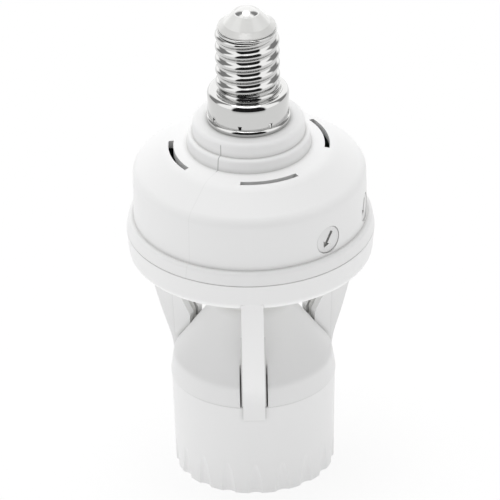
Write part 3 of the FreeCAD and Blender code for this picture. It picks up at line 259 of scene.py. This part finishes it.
# Moulded acetal: a shade greyer, with the floor of the dial's arrow slot in shade.
dial_white = satin_white_moulding("satin_white_acetal_with_shaded_arrow", "#E9E9E9")
recolour(dial_white, ARROW_FLOOR, DIAL_FACE, 1.0, "#A2A2A0")
# Nickel plate: a bright mirror with sharp dark and light bars.
nickel = bright_metal("bright_nickel_on_steel", "#BEBEBD", 0.06, 0.04)
# Zinc plate: a dull grey shine.
zinc = bright_metal("zinc_plated_steel", "#B4B4B2", 0.25, 0.15)
# Rolled spring brass: a soft yellow shine.
brass = bright_metal("sprung_brass", "#D9B978", 0.22, 0.12)
# Tin that set in a drop: bright, with blurred reflections.
solder = bright_metal("tin_solder", "#C4C4C3", 0.12, 0.08)
# Glazed ceramic: a sharp highlight on off-white, and its rim painted greyer as painted shade on its
# steeper face.
glaze = plain_solid("glazed_ceramic_with_painted_rim_shade", "#E8E8E6", 0.14, 6.0, "#E4E4E2")
recolour(glaze, RIM_SHADE_FROM, RIM_SHADE_FULL, 0.0, "#D6D6D4")
# Thin moulded polyethylene: milky, with a soft highlight.
lens_white = plain_solid("milky_polyethylene", "#EAEAE6", 0.38, 3.0, "#E4E4E0")
# Moulded polyester: matte and a little yellow.
insert_white = plain_solid("heat_resistant_polyester", "#DBD9D2", 0.55, 1.5, "#D3D1C9")
# Lacquered laminate: green with a faint weave and a wet look.
board_green = plain_solid("lacquered_glass_laminate", "#1F5A33", 0.3, 0.8, "#27683C")
# Moulded black casings: near black, half matte.
relay_black = plain_solid("black_moulding", "#1B1B1D", 0.5, 0.6, "#242426")
# Dipped epoxy: amber, smooth and glossy.
film_amber = plain_solid("amber_epoxy_dip", "#B26A1E", 0.25, 2.0, "#A65F18")
# Shrunk sleeve: blue-black with a tight gloss.
can_sleeve = plain_solid("shrunk_pvc_sleeve", "#15161F", 0.28, 3.0, "#1B1C27")
# Moulded nylon: clear blue, half gloss.
trimmer_blue = plain_solid("blue_nylon", "#2A5C9E", 0.42, 1.0, "#30639F")
# Polished silicon filter: a dark, glassy window.
window_dark = plain_solid("dark_silicon_filter", "#1D1A1C", 0.12, 1.0, "#232022")
# Cast resin: reddish brown and smooth.
sensor_resin = plain_solid("cast_epoxy_resin", "#9B5A3A", 0.2, 1.5, "#A36344")
# Drawn silicone sleeves: soft, dull colours that tell the leads apart.
brown_sleeve = plain_solid("brown_silicone_sleeve", "#5A3420", 0.5, 1.0, "#633B25")
pale_sleeve = plain_solid("pale_silicone_sleeve", "#DCDCDA", 0.5, 1.0, "#D4D4D2")
blue_sleeve = plain_solid("blue_silicone_sleeve", "#26488C", 0.5, 1.0, "#2D5096")

FINISHES = {
    "upper_cover": white_with_seam,
    "lower_cover": white_plain,
    "socket_hood": white_plain,
    "socket_cup": white_plain,
    "time_dial": dial_white,
    "lux_dial": dial_white,
    "time_trimmer": trimmer_blue,
    "lux_trimmer": trimmer_blue,
    "cover_screws": zinc,
    "screw_shell": nickel,
    "cap_insulator": glaze,
    "tip_contact": solder,
    "sensor_lens": lens_white,
    "pir_sensor": nickel,
    "pir_window": window_dark,
    "light_sensor": sensor_resin,
    "circuit_board": board_green,
    "relay": relay_black,
    "film_capacitor": film_amber,
    "electrolytic_capacitor": can_sleeve,
    "control_chip": relay_black,
    "cap_live_lead": brown_sleeve,
    "cap_neutral_lead": blue_sleeve,
    "lamp_live_lead": pale_sleeve,
    "lamp_neutral_lead": pale_sleeve,
    "socket_insert": insert_white,
    "socket_thread_shell": nickel,
    "centre_contact": brass,
    "contact_rivet": brass,
    "shell_rivets": brass,
}

for name, material in FINISHES.items():
    piece = nodes[name]
    piece.data.materials.clear()
    piece.data.materials.append(material)


# Screw shell: pressed and rolled from one sheet, in millimetres above the foot of its skirt
CAP_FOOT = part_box("screw_shell")[0][2] / MM
CAP_SHEET = 0.32
# Each corner is (radius, height, rounding).
CAP_SKIRT = [
    (8.40, 0.02, 0.0), (8.74, 0.02, 0.14), (8.76, 0.86, 0.36), (8.10, 0.88, 0.0), (8.10, 1.18, 0.0),
    (8.46, 1.24, 0.06), (8.50, 1.60, 0.20), (8.50, 6.82, 0.85), (7.14, 6.84, 0.08), (7.02, 6.89, 0.08),
    (6.15, 6.90, 0.35), (6.14, 7.90, 0.0),
]
CAP_MOUTH = [
    (6.14, 20.9, 0.0), (6.30, 21.15, 0.1), (6.50, 21.45, 0.16), (6.50, 22.0, 0.2), (6.05, 22.04, 0.0),
]
CAP_ROOT = 6.15
CAP_CREST = 6.95
CAP_PITCH = 2.822
NECK_FOOT = 7.6
NECK_TOP = 21.3
# Crests and roots are arcs of one radius, and the thread fades out over 0.3 pitch at both ends.
THREAD_ROUND = 0.8225
THREAD_FADE = 0.3 * CAP_PITCH
THREAD_FOOT = 7.45
THREAD_TOP = 21.2
# Height of a crest at the front
THREAD_PHASE = 18.15
# The skirt's plain wall is cut across for the crimps, and only its edges are this tall.
WALL_FOOT = 1.3
WALL_TOP = 6.9
WALL_EDGE = 0.5
WALL_CUTS = 5
# The crimps are struck between two heights, deepest at the top. The turn is the first one's.
CRIMPS = 8
CRIMP_TURN = 32.3
CRIMP_HALF_WIDTH = 3.4
CRIMP_LOW = 1.2
CRIMP_HIGH = 2.7
CRIMP_SHALLOW = 0.12
CRIMP_DEEP = 0.55
# Steps round the axis: the skirt has more, for the edges of the crimps.
SKIRT_STEPS = 288
NECK_STEPS = 144
NECK_CUTS = 127
ROUNDING_STEPS = 6
SHARP_ANGLE = math.radians(50)
FLAT_WEIGHT = 80
MERGE_WITHIN = 0.001


def turned_sheet(bm, corners, steps, cuts=0):
    """Round the corners of an open outline and spin it about the upright axis."""
    spots = [bm.verts.new((radius * MM, 0.0, (CAP_FOOT + height) * MM)) for radius, height, _ in corners]
    for low, high in zip(spots, spots[1:]):
        bm.edges.new((low, high))
    for spot, (_, _, rounding) in zip(spots, corners):
        if rounding:
            bmesh.ops.bevel(bm, geom=[spot], offset=rounding * MM, offset_type="OFFSET",
                            segments=ROUNDING_STEPS, profile=0.5, affect="VERTICES", material=-1)
    wire = [edge for edge in bm.edges if not edge.link_faces]
    if cuts:
        bmesh.ops.subdivide_edges(bm, edges=wire, cuts=cuts)
        wire = [edge for edge in bm.edges if not edge.link_faces]
    ends = [spot for spot in bm.verts if not spot.link_faces]
    bmesh.ops.spin(bm, geom=ends + wire, cent=(0, 0, 0), axis=(0, 0, 1), angle=math.tau, steps=steps,
                   use_merge=True)


def height_of(spot):
    """Millimetres above the foot of the skirt."""
    return spot.z / MM - CAP_FOOT


def turn_of(spot):
    """Degrees from the front strut, anticlockwise from above."""
    return math.degrees(math.atan2(spot.y, spot.x)) + 90.0


def smooth_step(value):
    """0 below 0, 1 above 1 and a smooth rise between them."""
    value = min(max(value, 0.0), 1.0)
    return value * value * (3.0 - 2.0 * value)


def split_skirt_wall(bm):
    """Cut the tall faces of the skirt's wall across, so that crimps can be struck in them."""
    tall = []
    for edge in bm.edges:
        low, high = sorted(height_of(spot.co) for spot in edge.verts)
        if high - low > WALL_EDGE and low > WALL_FOOT and high < WALL_TOP:
            tall.append(edge)
    bmesh.ops.subdivide_edges(bm, edges=tall, cuts=WALL_CUTS, use_grid_fill=True)


def punch_crimps(bm):
    """Small tabs round the foot of the skirt's wall, pushed in by a punch."""
    for number in range(CRIMPS):
        turn = CRIMP_TURN + 360.0 / CRIMPS * number
        struck = []
        for face in bm.faces:
            spot = face.calc_center_median()
            away = (turn_of(spot) - turn + 180.0) % 360.0 - 180.0
            if abs(away) < CRIMP_HALF_WIDTH and CRIMP_LOW < height_of(spot) < CRIMP_HIGH:
                struck.append(face)
        tab = bmesh.ops.extrude_face_region(bm, geom=struck, use_keep_orig=False)["geom"]
        angle = math.radians(turn - 90.0)
        for item in tab:
            if isinstance(item, bmesh.types.BMVert):
                rise = (height_of(item.co) - CRIMP_LOW) / (CRIMP_HIGH - CRIMP_LOW)
                depth = CRIMP_SHALLOW + (CRIMP_DEEP - CRIMP_SHALLOW) * rise
                item.co.x -= depth * MM * math.cos(angle)
                item.co.y -= depth * MM * math.sin(angle)
        bmesh.ops.delete(bm, geom=struck, context="FACES_KEEP_BOUNDARY")


def roll_thread(bm):
    """Push the plain neck out into the rolled thread, which fades out at both ends."""
    for spot in bm.verts:
        height = height_of(spot.co)
        if not THREAD_FOOT - CAP_PITCH < height < THREAD_TOP + CAP_PITCH:
            continue
        turns = (height - THREAD_PHASE) / CAP_PITCH - turn_of(spot.co) / 360.0
        off = (turns - round(turns)) * CAP_PITCH
        crest = height - off
        inside = smooth_step((crest - THREAD_FOOT) / THREAD_FADE + 0.5)
        inside *= smooth_step((THREAD_TOP - crest) / THREAD_FADE + 0.5)
        if abs(off) < CAP_PITCH / 4:
            out = CAP_CREST - CAP_ROOT - THREAD_ROUND + math.sqrt(THREAD_ROUND ** 2 - off ** 2)
        else:
            out = THREAD_ROUND - math.sqrt(THREAD_ROUND ** 2 - (CAP_PITCH / 2 - abs(off)) ** 2)
        stretch = 1.0 + out * inside * MM / math.hypot(spot.co.x, spot.co.y)
        spot.co.x *= stretch
        spot.co.y *= stretch


def finish_piece(bm, name, material, body):
    """Make a mesh an object that rides on its body."""
    bmesh.ops.remove_doubles(bm, verts=bm.verts, dist=MERGE_WITHIN * MM)
    bmesh.ops.recalc_face_normals(bm, faces=bm.faces)
    mesh = bpy.data.meshes.new(name)
    bm.to_mesh(mesh)
    bm.free()
    mesh.materials.append(material)
    piece = bpy.data.objects.new(name, mesh)
    bpy.context.scene.collection.objects.link(piece)
    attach(piece, body)
    return piece


def make_screw_shell():
    """The screw shell: lip, crimped skirt, beaded shoulder, rolled thread and mouth."""
    bm = bmesh.new()
    turned_sheet(bm, CAP_SKIRT, SKIRT_STEPS)
    split_skirt_wall(bm)
    punch_crimps(bm)
    turned_sheet(bm, [(CAP_ROOT, NECK_FOOT, 0.0), (CAP_ROOT, NECK_TOP, 0.0)], NECK_STEPS, NECK_CUTS)
    roll_thread(bm)
    turned_sheet(bm, CAP_MOUTH, NECK_STEPS)
    piece = finish_piece(bm, "rolled_screw_shell", nickel, "holder")
    for polygon in piece.data.polygons:
        polygon.use_smooth = True
    piece.data.set_sharp_from_angle(angle=SHARP_ANGLE)
    wall = piece.modifiers.new("sheet", "SOLIDIFY")
    wall.thickness = CAP_SHEET * MM
    wall.offset = -1.0
    flats = piece.modifiers.new("flats", "WEIGHTED_NORMAL")
    flats.keep_sharp = True
    flats.weight = FLAT_WEIGHT
    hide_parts("screw_shell")


make_screw_shell()


# Floor and light: a white tent, open and dark at the front, with a soft lamp above
# Each stretch is (from, to, softness) in degrees, round the upright axis or up from the floor.
OPENING = (-40.0, 42.0, 8.0)
OPENING_RISE = (-3.0, 58.0, 6.0)
SIDE_FOLDS = (98.0, 126.0, 14.0)
SIDE_FOLD_RISE = (4.0, 60.0, 12.0)
FLOOR_HALF_WIDTH = 4.0
FLOOR_DARK_FROM = 0.17
FLOOR_DARK_TO = 0.30
PLAIN_WHITE = "#FFFFFF"
OPENING_DARK = "#1A1A1A"
# The paper's own glow and its share of the paper: as the camera sees it, and as it lights the object
GLOW_SEEN = 1.0
GLOW_GIVEN = 1.4
GLOW_SHARE_SEEN = 0.85
GLOW_SHARE_GIVEN = 0.41
# Strengths that reflections show: the tent's cloth, and what its folds and its opening take from it
CLOTH_SEEN = 1.65
FOLD_DIMS = -1.3
OPENING_DIMS = -1.63
# Strengths that light the object, dimmest a little to the right of the front
TENT_FRONT = 0.46
TENT_BACK = 0.86
DIMMEST_TURN = math.radians(15.0)
LAMP_WATTS = 14.3
LAMP_SIZE = 1.2
LAMP_AT = Vector((-0.1, 0.1, 1.95))


def between(owner, angle, low, high, soft):
    """1 where an angle lies between two bounds in degrees, with soft edges, and 0 elsewhere."""
    rise = add(owner, "ShaderNodeMapRange", {"interpolation_type": "SMOOTHSTEP"}, Value=angle,
               From_Min=math.radians(low - soft), From_Max=math.radians(low))
    fall = add(owner, "ShaderNodeMapRange", {"interpolation_type": "SMOOTHSTEP"}, Value=angle,
               From_Min=math.radians(high), From_Max=math.radians(high + soft), To_Min=1.0, To_Max=0.0)
    both = add(owner, "ShaderNodeMath", {"operation": "MULTIPLY"}, _0=rise.outputs["Result"],
               _1=fall.outputs["Result"])
    return both.outputs[0]


def turn_from_front(owner, parts):
    """The turn of a place or a direction about the upright axis, from the front to the right."""
    ahead = add(owner, "ShaderNodeMath", {"operation": "MULTIPLY"}, _0=parts.outputs["Y"], _1=-1.0)
    turn = add(owner, "ShaderNodeMath", {"operation": "ARCTAN2"}, _0=parts.outputs["X"],
               _1=ahead.outputs[0])
    return turn.outputs[0]


def white_paper():
    """White paper, matte and glowing: it shows white to the camera but keeps the shadow, and its glow
    lights the object.
    """
    paper = new_material("white_paper_floor")
    path = add(paper, "ShaderNodeLightPath")
    place = add(paper, "ShaderNodeTexCoord").outputs["Object"]
    turn = turn_from_front(paper, add(paper, "ShaderNodeSeparateXYZ", Vector=place))
    reach = add(paper, "ShaderNodeVectorMath", {"operation": "LENGTH"}, _0=place)
    # Only reflections show the dark in front of the tent's opening.
    far = add(paper, "ShaderNodeMapRange", {"interpolation_type": "SMOOTHSTEP"},
              Value=reach.outputs["Value"], From_Min=FLOOR_DARK_FROM, From_Max=FLOOR_DARK_TO)
    opening = add(paper, "ShaderNodeMath", {"operation": "MULTIPLY"},
                  _0=between(paper, turn, *OPENING), _1=far.outputs["Result"])
    mirrored = add(paper, "ShaderNodeMath", {"operation": "MULTIPLY"},
                   _0=opening.outputs[0], _1=path.outputs["Is Glossy Ray"])
    tone = add(paper, "ShaderNodeMix", {"data_type": "RGBA"}, _0=mirrored.outputs[0],
               _6=linear(PLAIN_WHITE), _7=linear(OPENING_DARK))
    matte = add(paper, "ShaderNodeBsdfDiffuse", Color=tone.outputs[2])
    glow = add(paper, "ShaderNodeMapRange", Value=path.outputs["Is Camera Ray"],
               To_Min=GLOW_GIVEN, To_Max=GLOW_SEEN)
    bright = add(paper, "ShaderNodeEmission", Color=tone.outputs[2], Strength=glow.outputs["Result"])
    share = add(paper, "ShaderNodeMapRange", Value=path.outputs["Is Camera Ray"],
                To_Min=GLOW_SHARE_GIVEN, To_Max=GLOW_SHARE_SEEN)
    shader = add(paper, "ShaderNodeMixShader", _0=share.outputs[0], _1=matte.outputs[0],
                 _2=bright.outputs[0])
    return finish_material(paper, shader)


def lay_floor():
    """A flat sheet of paper under the object."""
    bm = bmesh.new()
    bmesh.ops.create_grid(bm, x_segments=1, y_segments=1, size=FLOOR_HALF_WIDTH)
    mesh = bpy.data.meshes.new("floor")
    bm.to_mesh(mesh)
    bm.free()
    mesh.materials.append(white_paper())
    floor = bpy.data.objects.new("floor", mesh)
    bpy.context.scene.collection.objects.link(floor)


def put_up_tent():
    """The white tent: reflections show its opening and folds, and it lights the object softly."""
    world = bpy.data.worlds.new("white_tent")
    bpy.context.scene.world = world
    world.use_nodes = True
    world.node_tree.nodes.clear()
    way = add(world, "ShaderNodeTexCoord").outputs["Generated"]
    parts = add(world, "ShaderNodeSeparateXYZ", Vector=way)
    turn = turn_from_front(world, parts)
    rise = add(world, "ShaderNodeMath", {"operation": "ARCSINE"}, _0=parts.outputs["Z"]).outputs[0]
    away = add(world, "ShaderNodeMath", {"operation": "ABSOLUTE"}, _0=turn).outputs[0]
    opening = add(world, "ShaderNodeMath", {"operation": "MULTIPLY"},
                  _0=between(world, turn, *OPENING), _1=between(world, rise, *OPENING_RISE))
    sides = add(world, "ShaderNodeMath", {"operation": "MULTIPLY"},
                _0=between(world, away, *SIDE_FOLDS), _1=between(world, rise, *SIDE_FOLD_RISE))
    cloth = add(world, "ShaderNodeMath", {"operation": "MULTIPLY_ADD"},
                _0=sides.outputs[0], _1=FOLD_DIMS, _2=CLOTH_SEEN)
    mirrored = add(world, "ShaderNodeMath", {"operation": "MULTIPLY_ADD"},
                   _0=opening.outputs[0], _1=OPENING_DIMS, _2=cloth.outputs[0])
    dimmest = add(world, "ShaderNodeMath", {"operation": "SUBTRACT"}, _0=turn, _1=DIMMEST_TURN)
    front = add(world, "ShaderNodeMath", {"operation": "COSINE"}, _0=dimmest.outputs[0])
    glow = add(world, "ShaderNodeMapRange", Value=front.outputs[0], From_Min=-1.0, From_Max=1.0,
               To_Min=TENT_BACK, To_Max=TENT_FRONT)
    path = add(world, "ShaderNodeLightPath")
    light = add(world, "ShaderNodeMix", _0=path.outputs["Is Glossy Ray"], _2=glow.outputs["Result"],
                _3=mirrored.outputs[0])
    seen = add(world, "ShaderNodeMix", _0=path.outputs["Is Camera Ray"], _2=light.outputs[0], _3=1.0)
    sky = add(world, "ShaderNodeBackground", Color=linear(PLAIN_WHITE), Strength=seen.outputs[0])
    add(world, "ShaderNodeOutputWorld", Surface=sky.outputs[0])


def hang_lamp():
    """One large soft lamp above the object, a little to the left and behind."""
    data = bpy.data.lights.new("soft_lamp", "AREA")
    data.shape = "DISK"
    data.size = LAMP_SIZE
    data.energy = LAMP_WATTS
    lamp = bpy.data.objects.new("soft_lamp", data)
    lamp.location = LAMP_AT
    lamp.rotation_euler = LAMP_AT.to_track_quat("Z", "Y").to_euler()
    bpy.context.scene.collection.objects.link(lamp)


lay_floor()
put_up_tent()
hang_lamp()

bpy.context.scene.view_settings.view_transform = "Standard"
